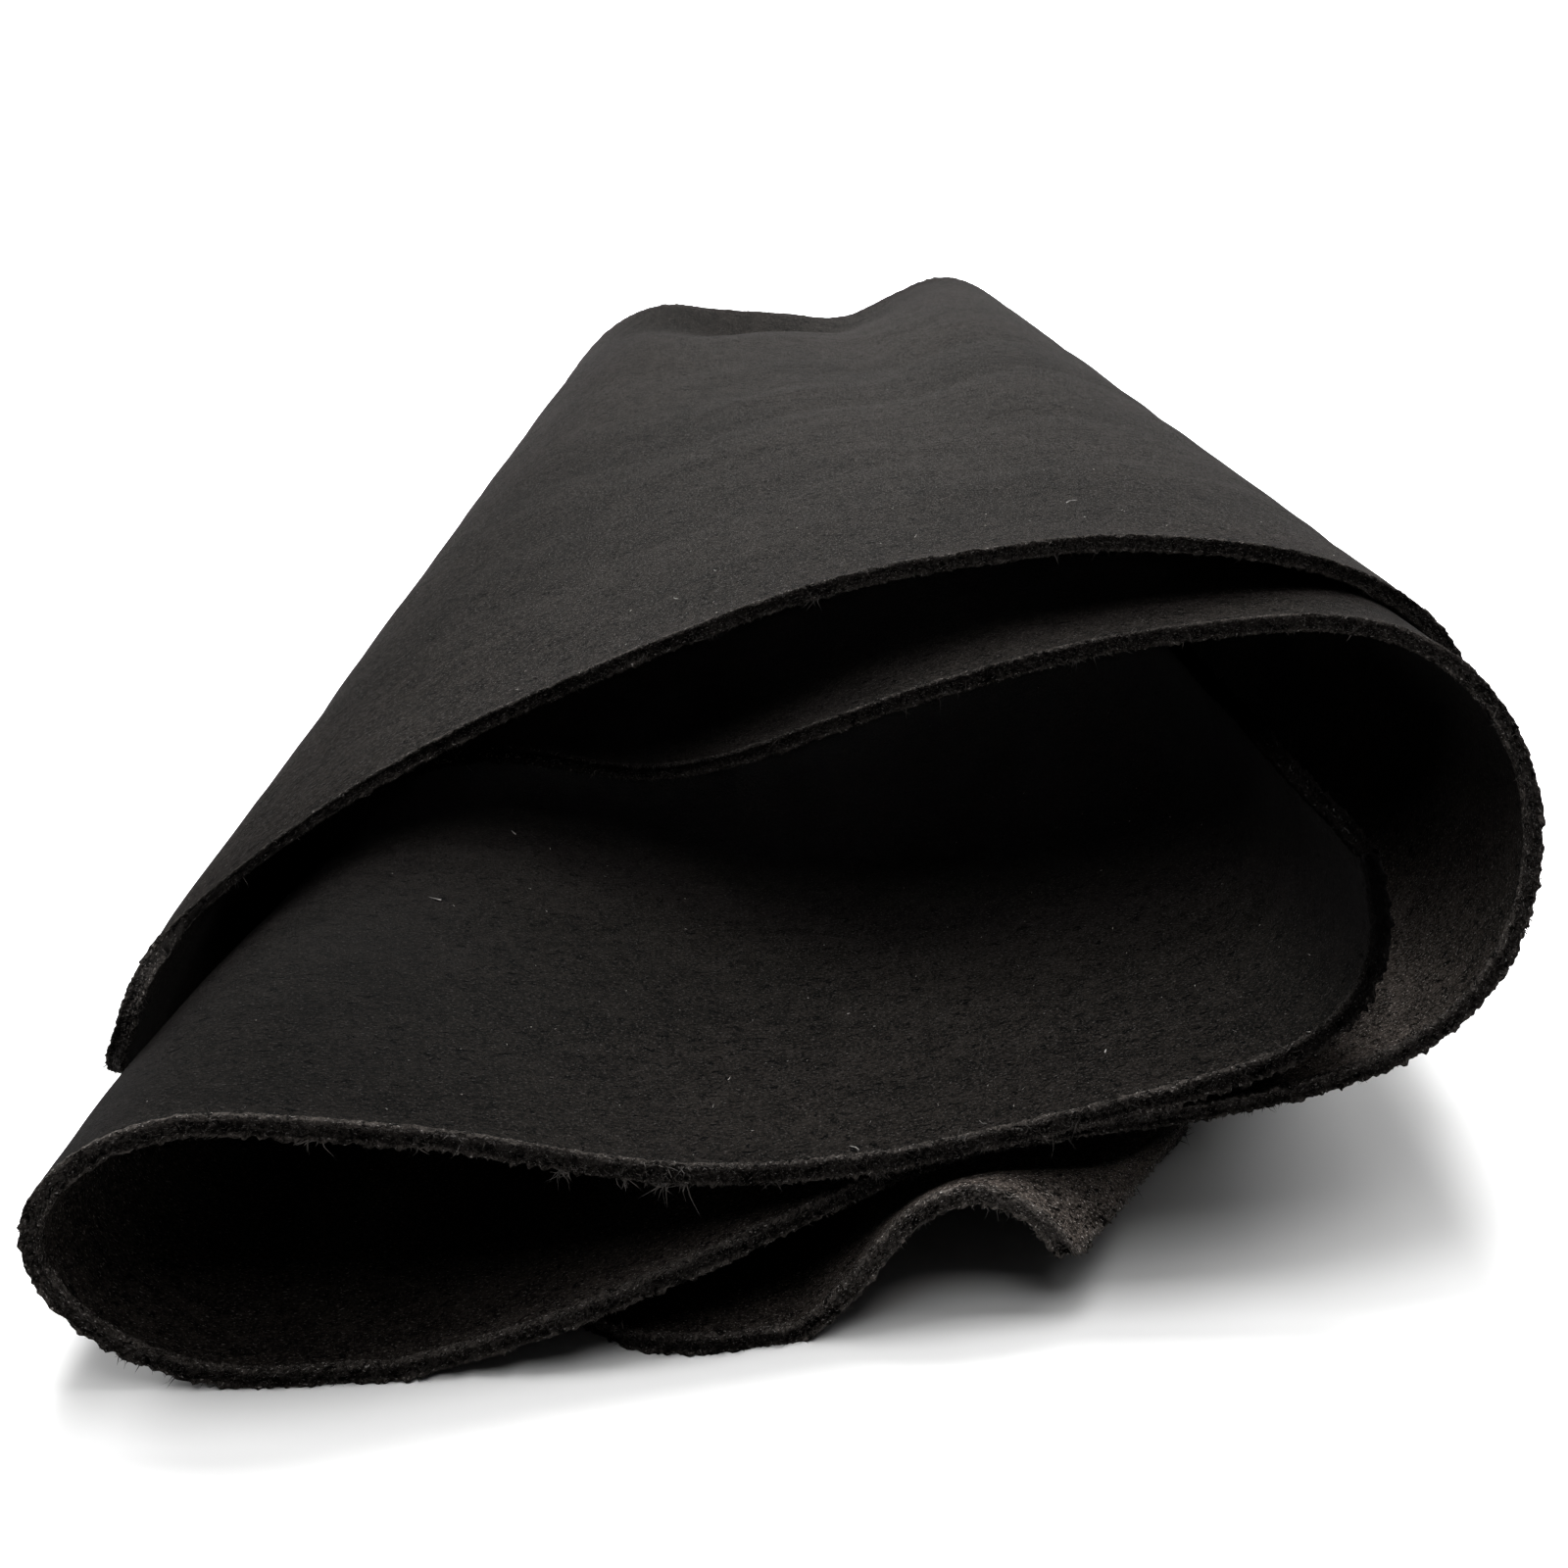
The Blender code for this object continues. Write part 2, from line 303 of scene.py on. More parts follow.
def framed(place, inset, from_far=False):
    """Points of the sheet's middle with its directions there: along the cut, inward and across."""
    step = 0.3
    points = middle(place, inset, from_far)
    onward = middle(place + step, inset, from_far) - middle(place - step, inset, from_far)
    inward = middle(place, inset + step, from_far) - middle(place, inset - step, from_far)
    if from_far:
        inward = -inward
    across = np.cross(onward, inward)
    onward, inward, across = (
        way / np.linalg.norm(way, axis=-1, keepdims=True) for way in (onward, inward, across)
    )
    wave = uneven(place, inset, SHEET_LUMPS)
    return points + across * wave[..., None], onward, inward, across


def to_frame(points):
    """Points of the tables' millimetres in the frame's metres."""
    points = (points - ORIGIN) * MM
    points[..., 2] = points[..., 2].clip(LOWEST)
    return points


def mesh_object(name, points, faces, materials, looks=None, cut=None):
    """A mesh piece. looks gives each face's material, cut each corner's place on the flat cut."""
    mesh = bpy.data.meshes.new(name)
    mesh.from_pydata(points.reshape(-1, 3), [], faces)
    for material in materials:
        mesh.materials.append(material)
    if looks is not None:
        mesh.polygons.foreach_set("material_index", looks.astype(np.int32))
    if cut is not None:
        layer = mesh.uv_layers.new(name="cut")
        layer.data.foreach_set("uv", cut[np.asarray(faces).ravel()].astype(np.float32).ravel())
    mesh.shade_smooth()
    piece = bpy.data.objects.new(name, mesh)
    bpy.context.scene.collection.objects.link(piece)
    return piece


def quads(rows, columns, start=0, flip=False):
    """Corner indices of a grid's faces, for points numbered row by row from start."""
    at = np.arange(rows * columns).reshape(rows, columns) + start
    faces = np.stack([at[:-1, :-1], at[1:, :-1], at[1:, 1:], at[:-1, 1:]], -1).reshape(-1, 4)
    return faces[:, ::-1] if flip else faces


# ---------------------------------------------------------------- materials


def new_material(name):
    """A material with its nodes and links."""
    material = bpy.data.materials.new(name)
    material.use_nodes = True
    return material, material.node_tree.nodes, material.node_tree.links


# How many millimetres of the flat cut one unit of its map is.
CUT_UNIT = 10

# The nap's noises on that map. stretch and turn are the map's scale and its turn in radians under
# the noise, and twist is how much the noise distorts itself.
Noise = namedtuple("Noise", "scale detail rough stretch turn twist", defaults=((1, 1, 1), 0, 0))
NAP = {
    "grain": Noise(30, 4.0, 0.75),
    "fine": Noise(95, 2.0, 0.6),
    "pits": Noise(12, 4.0, 0.62, (0.8, 1.0, 1.0), 0.3, 0.8),
    "specks": Noise(52, 1.0, 0.5, (0.75, 1.3, 1.0), 0.6, 0.4),
    "mottle": Noise(10, 2.0, 0.6, (1.0, 0.8, 1.0), 0.5, 0.8),
    "patches": Noise(2.2, 3.0, 0.65),
    "cloud": Noise(0.25, 2.0, 0.5),
}

# A term rises smoothly from nothing at the noise's value low to its weight at high.
Term = namedtuple("Term", "noise low high weight")
# How far the nap's colour is from dark to light: the sum of these, raised to a power and scaled.
LIGHTNESS = (
    Term("grain", 0.43, 0.62, 0.7),
    Term("fine", 0.42, 0.6, 0.3),
    Term("mottle", 0.36, 0.64, 0.3),
    Term("patches", 0.3, 0.7, 0.25),
    Term("cloud", 0.3, 0.7, 0.2),
    # The pits term darkens the colour where the pits sink in the relief: painted shade in the nap's
    # hollows, on top of the nap's own uneven tone.
    Term("pits", 0.43, 0.33, -1.0),
)
LIGHTNESS_POWER = 2.0
LIGHTNESS_SCALE = 0.8
# Where specks lie, and how many times as bright as the light colour they are.
SPECKS = Term("specks", 0.64, 0.72, 0.8)
SPECK_BRIGHTNESS = 6.0
# How much each noise raises the nap, and how high the whole relief is, in metres.
GRAIN_HEIGHT = 1.2
FINE_HEIGHT = 0.3
HEIGHTS = (
    Term("pits", 0.28, 0.42, 0.9),
    Term("specks", 0.6, 0.76, 0.3),
)
FACE_RELIEF = 0.00025
EDGE_RELIEF = 0.0004


def suede(name, dark, light, sheen, painted_light_and_shade=None, edge=False, specular=0.02):
    """Napped suede between a dark and a light colour.

    A table of places along the cut, in millimetres, and tones multiplies the colour there: painted
    light and shade. edge is for a cut edge, where the relief is higher.
    """
    material, nodes, links = new_material(name)
    shader = nodes["Principled BSDF"]
    shader.inputs["Roughness"].default_value = 1
    shader.inputs["Specular IOR Level"].default_value = specular
    shader.inputs["Sheen Weight"].default_value = sheen
    shader.inputs["Sheen Roughness"].default_value = 0.35
    shader.inputs["Sheen Tint"].default_value = (0.82, 0.78, 0.75, 1)

    cut = nodes.new("ShaderNodeUVMap")
    cut.uv_map = "cut"

    def noise(kind):
        mapping = nodes.new("ShaderNodeMapping")
        mapping.inputs["Scale"].default_value = kind.stretch
        mapping.inputs["Rotation"].default_value = (0, 0, kind.turn)
        links.new(cut.outputs["UV"], mapping.inputs["Vector"])
        texture = nodes.new("ShaderNodeTexNoise")
        texture.inputs["Scale"].default_value = kind.scale
        texture.inputs["Detail"].default_value = kind.detail
        texture.inputs["Roughness"].default_value = kind.rough
        texture.inputs["Distortion"].default_value = kind.twist
        links.new(mapping.outputs["Vector"], texture.inputs["Vector"])
        return texture.outputs["Fac"]

    def math(operation, a, b):
        node = nodes.new("ShaderNodeMath")
        node.operation = operation
        for socket, value in zip(node.inputs, (a, b)):
            if isinstance(value, (int, float)):
                socket.default_value = value
            else:
                links.new(value, socket)
        return node.outputs["Value"]

    def weighed(term):
        node = nodes.new("ShaderNodeMapRange")
        node.interpolation_type = "SMOOTHSTEP"
        node.inputs["From Min"].default_value = term.low
        node.inputs["From Max"].default_value = term.high
        links.new(noises[term.noise], node.inputs["Value"])
        return math("MULTIPLY", node.outputs["Result"], term.weight)

    def mix(share, a, b, blend="MIX"):
        node = nodes.new("ShaderNodeMix")
        node.data_type = "RGBA"
        node.blend_type = blend
        factor, first, second = node.inputs["Factor"], node.inputs[6], node.inputs[7]
        for socket, value in ((factor, share), (first, a), (second, b)):
            if isinstance(value, tuple):
                socket.default_value = (*value, 1)
            elif isinstance(value, (int, float)):
                socket.default_value = value
            else:
                links.new(value, socket)
        return node.outputs[2]

    noises = {kind: noise(setting) for kind, setting in NAP.items()}

    share = weighed(LIGHTNESS[0])
    for term in LIGHTNESS[1:]:
        share = math("ADD", share, weighed(term))
    share = math("POWER", math("MAXIMUM", share, 0.0), LIGHTNESS_POWER)
    colour = mix(math("MULTIPLY", share, LIGHTNESS_SCALE), dark, light)
    # Specks are nearly neutral: each channel is halfway to the green one.
    bright = tuple(min(1.0, SPECK_BRIGHTNESS / 2 * (c + light[1])) for c in light)
    colour = mix(weighed(SPECKS), colour, bright)
    # Painted light and shade: the colour is multiplied by a tone set only by the place along the
    # cut.
    if painted_light_and_shade:
        split = nodes.new("ShaderNodeSeparateXYZ")
        links.new(cut.outputs["UV"], split.inputs["Vector"])
        tone = nodes.new("ShaderNodeValToRGB")
        links.new(math("DIVIDE", split.outputs["X"], LENGTH / CUT_UNIT), tone.inputs["Fac"])
        stops = tone.color_ramp.elements
        for stop, (_, value) in ((stops[0], painted_light_and_shade[0]), (stops[-1], painted_light_and_shade[-1])):
            stop.color = (value, value, value, 1)
        for place, value in painted_light_and_shade[1:-1]:
            stops.new(place / LENGTH).color = (value, value, value, 1)
        colour = mix(1.0, colour, tone.outputs["Color"], "MULTIPLY")
    links.new(colour, shader.inputs["Base Color"])

    grain = math("MULTIPLY", noises["grain"], GRAIN_HEIGHT)
    height = math("ADD", grain, math("MULTIPLY", noises["fine"], FINE_HEIGHT))
    for term in HEIGHTS:
        height = math("ADD", height, weighed(term))
    bump = nodes.new("ShaderNodeBump")
    bump.inputs["Strength"].default_value = 1.0
    bump.inputs["Distance"].default_value = EDGE_RELIEF if edge else FACE_RELIEF
    links.new(height, bump.inputs["Height"])
    links.new(bump.outputs["Normal"], shader.inputs["Normal"])
    return material


# A strand's colour runs between two shades of the one given, in lumps of about a millimetre: the
# noise's value where each shade is reached, and the shade.
STRAND_NOISE = 900
STRAND_SHADES = ((0.35, 0.45), (0.7, 1.5))


def fibre_material(name, colour, sheen):
    """The looks of loose strands of the given colour."""
    material, nodes, links = new_material(name)
    shader = nodes["Principled BSDF"]
    shader.inputs["Roughness"].default_value = 0.9
    shader.inputs["Specular IOR Level"].default_value = 0.15
    shader.inputs["Sheen Weight"].default_value = sheen
    place = nodes.new("ShaderNodeTexCoord")
    texture = nodes.new("ShaderNodeTexNoise")
    texture.inputs["Scale"].default_value = STRAND_NOISE
    links.new(place.outputs["Object"], texture.inputs["Vector"])
    ramp = nodes.new("ShaderNodeValToRGB")
    for stop, (position, shade) in zip(ramp.color_ramp.elements, STRAND_SHADES):
        stop.position = position
        stop.color = (*(shade * c for c in colour), 1)
    links.new(texture.outputs["Fac"], ramp.inputs["Fac"])
    links.new(ramp.outputs["Color"], shader.inputs["Base Color"])
    return material


# Painted light and shade: tones that multiply the colour at places along the cut. The shade is
# painted darkest at the inner edge and inside the bends, darker on the inner layers than on the top
# one, and the painted light is lightest on the free corner.
OUTER_PAINTED_SHADE = (
    (0, 0.06), (9, 0.15), (18, 0.36), (30, 0.43), (55, 0.42), (75, 0.34), (95, 0.22),
    (142, 0.25), (165, 0.57), (322, 0.57), (338, 0.2), (370, 0.2), (400, 0.57), (480, 0.57),
    (530, 0.69), (767, 0.69),
)
INNER_PAINTED_LIGHT_AND_SHADE = (
    (0, 0.4), (200, 0.5), (218, 1.0), (225, 0.72), (232, 0.4), (239, 0.2), (246, 0.1),
    (256, 0.06), (300, 0.4), (635, 0.4), (655, 0.15), (690, 0.3), (735, 0.7), (745, 1.1),
    (752, 1.6), (758, 1.9), (767, 2.4),
)
EDGE_PAINTED_LIGHT_AND_SHADE = (
    (0, 0.04), (8, 0.08), (13, 0.25), (20, 0.6), (28, 0.9), (100, 0.9), (118, 1.6), (145, 1.6),
    (165, 0.8), (322, 0.9), (336, 0.3), (346, 0.06), (370, 0.06), (400, 0.9), (700, 1.0),
    (733, 1.3), (742, 2.4), (752, 2.6), (767, 2.8),
)

# The face that lies outward on the roll is a cooler, darker grey than the one that lies inward.
OUTER = suede(
    "suede_outer_face",
    dark=(0.0006, 0.00055, 0.0005),
    light=(0.0258, 0.0220, 0.0197),
    sheen=0.003,
    painted_light_and_shade=OUTER_PAINTED_SHADE,
)
INNER = suede(
    "suede_inner_face",
    dark=(0.0012, 0.0010, 0.0009),
    light=(0.0560, 0.0467, 0.0407),
    sheen=0.005,
    painted_light_and_shade=INNER_PAINTED_LIGHT_AND_SHADE,
)
CUT = suede(
    "suede_cut_edge",
    dark=(0.0005, 0.00045, 0.0004),
    light=(0.0275, 0.0244, 0.0223),
    sheen=0.002,
    painted_light_and_shade=EDGE_PAINTED_LIGHT_AND_SHADE,
    edge=True,
)
LIP = suede(
    "suede_frayed_lip",
    dark=(0.0020, 0.0018, 0.0016),
    light=(0.0460, 0.0405, 0.0366),
    sheen=0.004,
    painted_light_and_shade=EDGE_PAINTED_LIGHT_AND_SHADE,
    edge=True,
)
# Painted shade: the cut edge on the start side, deep inside the roll, is made nearly black, without
# sheen or gloss, to stand for the shade there.
PAINTED_SHADE_CUT = suede(
    "suede_inner_cut_edge_painted_shade",
    dark=(0.0002, 0.0002, 0.0002),
    light=(0.0016, 0.0014, 0.0013),
    sheen=0.0,
    edge=True,
    specular=0.0,
)
LOOSE = fibre_material("suede_loose_fibres", (0.030, 0.0262, 0.0235), 0.05)
# Painted shade: the fibres on the start side, inside the roll, are a tenth as light as the loose
# ones, without sheen.
PAINTED_SHADE_FIBRES = fibre_material("suede_inner_edge_fibres_painted_shade", (0.003, 0.0027, 0.0024), 0.0)
LINT = fibre_material("pale_lint", (0.2, 0.19, 0.18), 0.1)


# ---------------------------------------------------------------- the sheet


def spans():
    """Places along the cut that part it into spans, longer where it is flat."""
    places = np.arange(EDGE_INSET, LENGTH - EDGE_INSET, FINE_STEP)
    section = spline(KNOTS, NEAR, places)
    step = np.diff(section[:, [0, 2]], axis=0)
    heading = np.unwrap(np.arctan2(step[:, 1], step[:, 0]))
    turn = np.concatenate([[0], np.abs(np.diff(heading)), [0]])
    length = np.concatenate([[0], np.linalg.norm(step, axis=1)])
    used = np.cumsum(length / SPAN + turn / TURN)
    count = int(np.ceil(used[-1]))
    picked = np.searchsorted(used, np.linspace(0, used[-1], count + 1)).clip(0, len(places) - 1)
    return places[np.unique(picked)]


def row_shares():
    """How far in from the near edge each row of the sheet lies, for a cut 300 mm deep."""
    at, gap = zip(*ROWS)
    rows = [EDGE_INSET]
    while rows[-1] < ALL_THE_WAY - EDGE_INSET:
        rows.append(rows[-1] + np.interp(rows[-1], at, gap))
    rows = np.array(rows) - EDGE_INSET
    return EDGE_INSET + rows * (ALL_THE_WAY - 2 * EDGE_INSET) / rows[-1]


# How far the inner face's map lies from the outer one's, in units of the map.
INNER_MAP = (0, 41.3)


def sheet():
    """The sheet itself: both faces, and a plain rim that the cut edge covers."""
    places = spans()[:, None]
    rows = row_shares()[None, :]
    reach = (spline(KNOTS, FAR, places.ravel()) - spline(KNOTS, NEAR, places.ravel()))[:, 1:2]
    inset = rows * reach / ALL_THE_WAY
    points, _, _, across = framed(places, inset)
    outer = points - across * THICKNESS / 2
    inner = points + across * THICKNESS / 2
    n, m = inset.shape
    count = n * m
    at = np.arange(count).reshape(n, m)
    loop = np.concatenate([at[:, 0], at[-1, 1:], at[-2::-1, -1], at[0, -2:0:-1]])
    onward = np.roll(loop, -1)
    rim = np.stack([loop, onward, onward + count, loop + count], -1)
    faces = np.concatenate([quads(n, m, 0, flip=True), quads(n, m, count), rim])
    each = (n - 1) * (m - 1)
    looks = np.repeat([0, 1, 2], [each, each, len(rim)])
    cut = np.stack([np.broadcast_to(places, inset.shape), inset], -1).reshape(-1, 2) / CUT_UNIT
    cut = np.concatenate([cut, cut + INNER_MAP])
    points = to_frame(np.concatenate([outer.reshape(-1, 3), inner.reshape(-1, 3)]))
    return mesh_object("suede_sheet", points, faces, (OUTER, INNER, CUT), looks, cut)


# ---------------------------------------------------------------- the cut edge

# The cut edge's section, from the outer face round the cut to the inner one. in_by is how far in
# from the cut, off the height from the sheet's middle as a share of half its thickness, and rough
# how uneven the place is, in millimetres.
Lip = namedtuple("Lip", "in_by off rough")
EDGE_SECTION = (
    Lip(2.6, -0.95, 0.0),
    Lip(1.8, -1.02, 0.03),
    Lip(1.1, -1.05, 0.05),
    Lip(0.6, -1.08, 0.09),
    Lip(0.2, -1.1, 0.16),
    Lip(-0.16, -0.98, 0.26),
    Lip(0.06, -0.72, 0.2),
    Lip(0.42, -0.45, 0.12),
    Lip(0.48, 0.0, 0.12),
    Lip(0.4, 0.4, 0.12),
    Lip(0.0, 0.66, 0.22),
    Lip(-0.28, 0.96, 0.32),
    Lip(0.12, 1.12, 0.18),
    Lip(0.6, 1.08, 0.09),
    Lip(1.1, 1.05, 0.05),
    Lip(1.8, 1.02, 0.03),
    Lip(2.6, 0.95, 0.0),
)
# The material of each strip between two places of the section: 0 is the outer face, 1 the inner
# one, 2 the cut and 3 its frayed lips.
EDGE_LOOKS = [0] * 3 + [3] * 3 + [2] * 4 + [3] * 3 + [1] * 3
# How close together the sections are along each side, in millimetres. Each side has its own seed.
EDGE_STEP = {"near": 0.17, "far": 0.45, "start": 0.3, "end": 0.3}
SIDES = tuple(EDGE_STEP)
FIRST_SEED = 3

# How uneven the cut is: the height, size and seed of each set of lumps. WANDER moves the whole
# section in and out, RAGGED each place of it in and out and SWELL each place across the thickness.
# The places are LUMP_STEP apart among the lumps.
WANDER = ((0.25, 14, 0), (0.12, 3, 0))
RAGGED = ((0.5, 1.3, 0), (0.8, 0.55, 9), (1.1, 0.24, 13))
SWELL = ((0.5, 0.6, 5), (0.7, 0.26, 6))
LUMP_STEP = 0.9
# How far apart the maps of sides with neighbouring seeds lie, in millimetres.
MAP_APART = 70


def edge_places(side):
    """Places along one side of the cut, from corner to corner."""
    if side in ("near", "far"):
        return np.linspace(0, LENGTH, int(LENGTH / EDGE_STEP[side]))
    end = 0 if side == "start" else -1
    reach = FAR[end, 1] - NEAR[end, 1]
    return np.linspace(0, reach, int(reach / EDGE_STEP[side]))


def side_frame(side, at, in_by):
    """Points and directions where at is along one side of the cut and in_by is in from it."""
    if side in ("near", "far"):
        points, _, inward, across = framed(at, in_by, from_far=side == "far")
        return points, (-inward if side == "far" else inward), across
    place = in_by if side == "start" else LENGTH - in_by
    points, onward, _, across = framed(place, at)
    return points, (onward if side == "start" else -onward), across


def cut_edge(side):
    """The ragged edge along one side of the cut. It laps the sheet's two faces."""
    at = edge_places(side)[:, None]
    section = np.array(EDGE_SECTION)
    in_by, off, rough = (section[None, :, i] for i in range(3))
    lap = in_by.max()
    row = np.arange(len(EDGE_SECTION))[None, :] * LUMP_STEP
    seed = SIDES.index(side) + FIRST_SEED
    wander = uneven(at, 0 * at, WANDER, seed)
    ragged = rough * uneven(at, row, RAGGED, seed)
    swell = rough * uneven(at, row, SWELL, seed)
    in_by = in_by + wander * (1 - in_by / lap).clip(0, 1) + ragged
    points, inward, across = side_frame(side, at + 0 * in_by, in_by)
    points = points + across * (off * THICKNESS / 2 + swell)[..., None]
    n, m = in_by.shape
    faces = quads(n, m, flip=side in ("near", "end"))
    round_cut = np.hypot(np.diff(section[:, 0]), np.diff(section[:, 1] * THICKNESS / 2))
    round_cut = np.concatenate([[0], np.cumsum(round_cut)])[None, :] + 0 * at
    ends = {"start": (round_cut, at), "end": (LENGTH - round_cut, at)}
    place, inset = ends.get(side, (at, round_cut))
    cut = np.stack([place + 0 * in_by, inset + 0 * in_by + MAP_APART * seed], -1)
    cut = cut.reshape(-1, 2) / CUT_UNIT
    looks = np.repeat([EDGE_LOOKS], n - 1, axis=0).ravel()
    # The start side lies inside the roll; its cut edge takes the painted-shade material.
    rim = (PAINTED_SHADE_CUT, PAINTED_SHADE_CUT) if side == "start" else (CUT, LIP)
    materials = (OUTER, INNER, *rim)
    return mesh_object(f"cut_edge_{side}", to_frame(points), faces, materials, looks, cut)


# ---------------------------------------------------------------- fibres

RANDOM = np.random.default_rng(23)

# A strand is two rings of three points and a tip. RINGS gives how far along it each ring is, as a
# share of its length, and how thick it is there, as a share of its width.
RINGS = ((0, 1.0), (0.5, 0.8))
RING_TURNS = (0, 2 * pi / 3, 4 * pi / 3)
STRAND_POINTS = len(RINGS) * len(RING_TURNS) + 1
BETWEEN_RINGS = ((0, 1, 4), (0, 4, 3), (1, 2, 5), (1, 5, 4), (2, 0, 3), (2, 3, 5))
TO_THE_TIP = ((3, 4, 6), (4, 5, 6), (5, 3, 6))
STRAND_FACES = np.array(BETWEEN_RINGS + TO_THE_TIP)


def fibres(name, roots, ways, lengths, widths, material, curl):
    """Thin tapering strands with three sides, which bend once by the share curl of their length."""
    count = len(roots)
    ways = ways / np.linalg.norm(ways, axis=1, keepdims=True)
    bend = RANDOM.normal(0, 1, (count, 3))
    bend -= ways * (bend * ways).sum(1, keepdims=True)
    side = np.cross(ways, RANDOM.normal(0, 1, (count, 3)))
    side /= np.linalg.norm(side, axis=1, keepdims=True)
    other = np.cross(ways, side)
    rings = []
    for t, thick in RINGS:
        centre = roots + ways * (lengths * t)[:, None] + bend * (curl * lengths * t * t)[:, None]
        for turn in RING_TURNS:
            off = side * np.cos(turn) + other * np.sin(turn)
            rings.append(centre + off * (widths * thick / 2)[:, None])
    rings.append(roots + ways * lengths[:, None] + bend * (curl * lengths)[:, None])
    points = np.stack(rings, 1)
    faces = (np.arange(count)[:, None, None] * STRAND_POINTS + STRAND_FACES[None]).reshape(-1, 3)
    return mesh_object(name, to_frame(points), faces, (material,))


# Tufts that hang from the near edge: how far along the cut, on which face (-1 outer, 1 inner), how
# many strands, how long they are and which way they lean along the cut.
Tuft = namedtuple("Tuft", "at face count length lean")
TUFTS = (
    Tuft(93.5, 1, 12, 1.3, -0.6),
    Tuft(76.5, 1, 16, 1.5, -0.9),
    Tuft(72.0, 0.9, 8, 1.2, -0.2),
    Tuft(69.0, 1, 18, 1.9, -1.0),
    Tuft(67.5, 1, 9, 1.5, -0.6),
    Tuft(52.5, 1, 12, 1.2, -0.5),
    Tuft(46.0, -1, 10, 1.2, 0.9),
    Tuft(31.0, 1, 10, 1.1, 0.3),
    Tuft(289.0, 1, 9, 1.3, 0.4),
    Tuft(305.0, 1, 7, 1.0, -0.4),
    Tuft(588.0, -1, 8, 0.9, 0.4),
    Tuft(238.0, -1, 10, 1.0, 0.6),
    Tuft(725.0, 1, 9, 1.0, 0.5),
)

# How far a tuft's strands spread along the cut, and how thick they are.
TUFT_SPREAD = 0.3
TUFT_WIDTHS = (0.09, 0.18)

# Pale lint on the outer face: how far along the cut and in from the near edge, and how long it is.
Lint = namedtuple("Lint", "at inset length")
LINT_PLACES = (
    Lint(564.3, 18, 1.6),
    Lint(601.8, 20, 0.5),
    Lint(605.3, 14, 0.5),
    Lint(87.5, 73, 0.7),
    Lint(92.0, 50, 1.4),
    Lint(32.5, 9, 0.8),
    Lint(54.0, 1, 0.9),
    Lint(43.5, 1.5, 0.9),
)
LINT_WIDTH = 0.15
# How far lint lies off the face.
LINT_RISE = 0.05

# A dust of short strands lies on the innermost layer and on the top one: from where to where along
# the cut, and the share of it there. It thins out inward from the near edge and ends at
# DUST_FARTHEST.
DUST_COUNT = 150
DUST_PLACES = ((12, 105), (535, 655))
DUST_SHARES = (0.65, 0.35)
DUST_DEPTH = 45
DUST_FARTHEST = 250
DUST_LENGTHS = (0.1, 0.3)
DUST_WIDTHS = (0.04, 0.1)


def strand_frame(side, at, in_by, face):
    """Roots of strands on one side of the cut, with the directions inward, onward and across.

    face is where each root is through the thickness, from -1 at the outer face to 1 at the inner.
    """
    points, inward, across = side_frame(side, at, in_by)
    roots = points + across * (face * THICKNESS / 2)[:, None]
    return roots, inward, np.cross(across, inward), across


def tufts():
    """Loose strands in bundles, on the near edge."""
    at, face, length, lean = (
        np.concatenate([[getattr(tuft, name)] * tuft.count for tuft in TUFTS]).astype(float)
        for name in ("at", "face", "length", "lean")
    )
    count = len(at)
    at = at + RANDOM.normal(0, TUFT_SPREAD, count)
    in_by = RANDOM.uniform(-0.1, 0.3, count)
    roots, inward, onward, across = strand_frame("near", at, in_by, face)
    lean = lean + RANDOM.normal(0, 0.5, count)
    lift = 0.7 * face + RANDOM.normal(0, 0.3, count)
    ways = -inward + onward * lean[:, None] + across * lift[:, None]
    lengths = 0.75 * length * RANDOM.uniform(0.4, 1.0, count)
    widths = RANDOM.uniform(*TUFT_WIDTHS, count)
    return fibres("tufts_near", roots, ways, lengths, widths, LOOSE, curl=0.9)


def lint():
    """Pale strands that lie on the outer face, and a dust of short ones."""
    named = np.array(LINT_PLACES)
    count = DUST_COUNT
    layer = RANDOM.choice([0, 1], count, p=DUST_SHARES)
    at = np.where(layer == 0, *(RANDOM.uniform(*places, count) for places in DUST_PLACES))
    thinning = RANDOM.uniform(0.5, 1, count)
    inset = thinning * RANDOM.exponential(DUST_DEPTH, count).clip(0, DUST_FARTHEST)
    at = np.concatenate([named[:, 0], at])
    inset = np.concatenate([named[:, 1], inset])
    lengths = np.concatenate([named[:, 2], RANDOM.uniform(*DUST_LENGTHS, count)])
    widths = np.full(len(named), LINT_WIDTH)
    widths = np.concatenate([widths, RANDOM.uniform(*DUST_WIDTHS, count)])
    points, onward, inward, across = framed(at, inset)
    roots = points - across * (THICKNESS / 2 + LINT_RISE)
    turn = RANDOM.uniform(0, 2 * pi, len(at))[:, None]
    ways = onward * np.cos(turn) + inward * np.sin(turn) - 0.15 * across
    return fibres("lint", roots, ways, lengths, widths, LINT, curl=0.4)


# Where the loose fibres stand through the thickness, from -1 at the outer face to 1 at the inner,
# and the share of them there. Along the near edge they start past the inner curl.
FIBRE_FACES = (-1, 1, -0.1, 0.35)
FIBRE_SHARES = (0.36, 0.36, 0.14, 0.14)
NEAR_FIBRES_START = 18
FIBRE_WIDTHS = (0.05, 0.11)
# The shortest fibre, and the sizes of the lumps by which fibres stand in clumps and lean alike.
FIBRE_SHORTEST = 0.2
CLUMP_SIZE = 2.2
LEAN_SIZE = 3.5


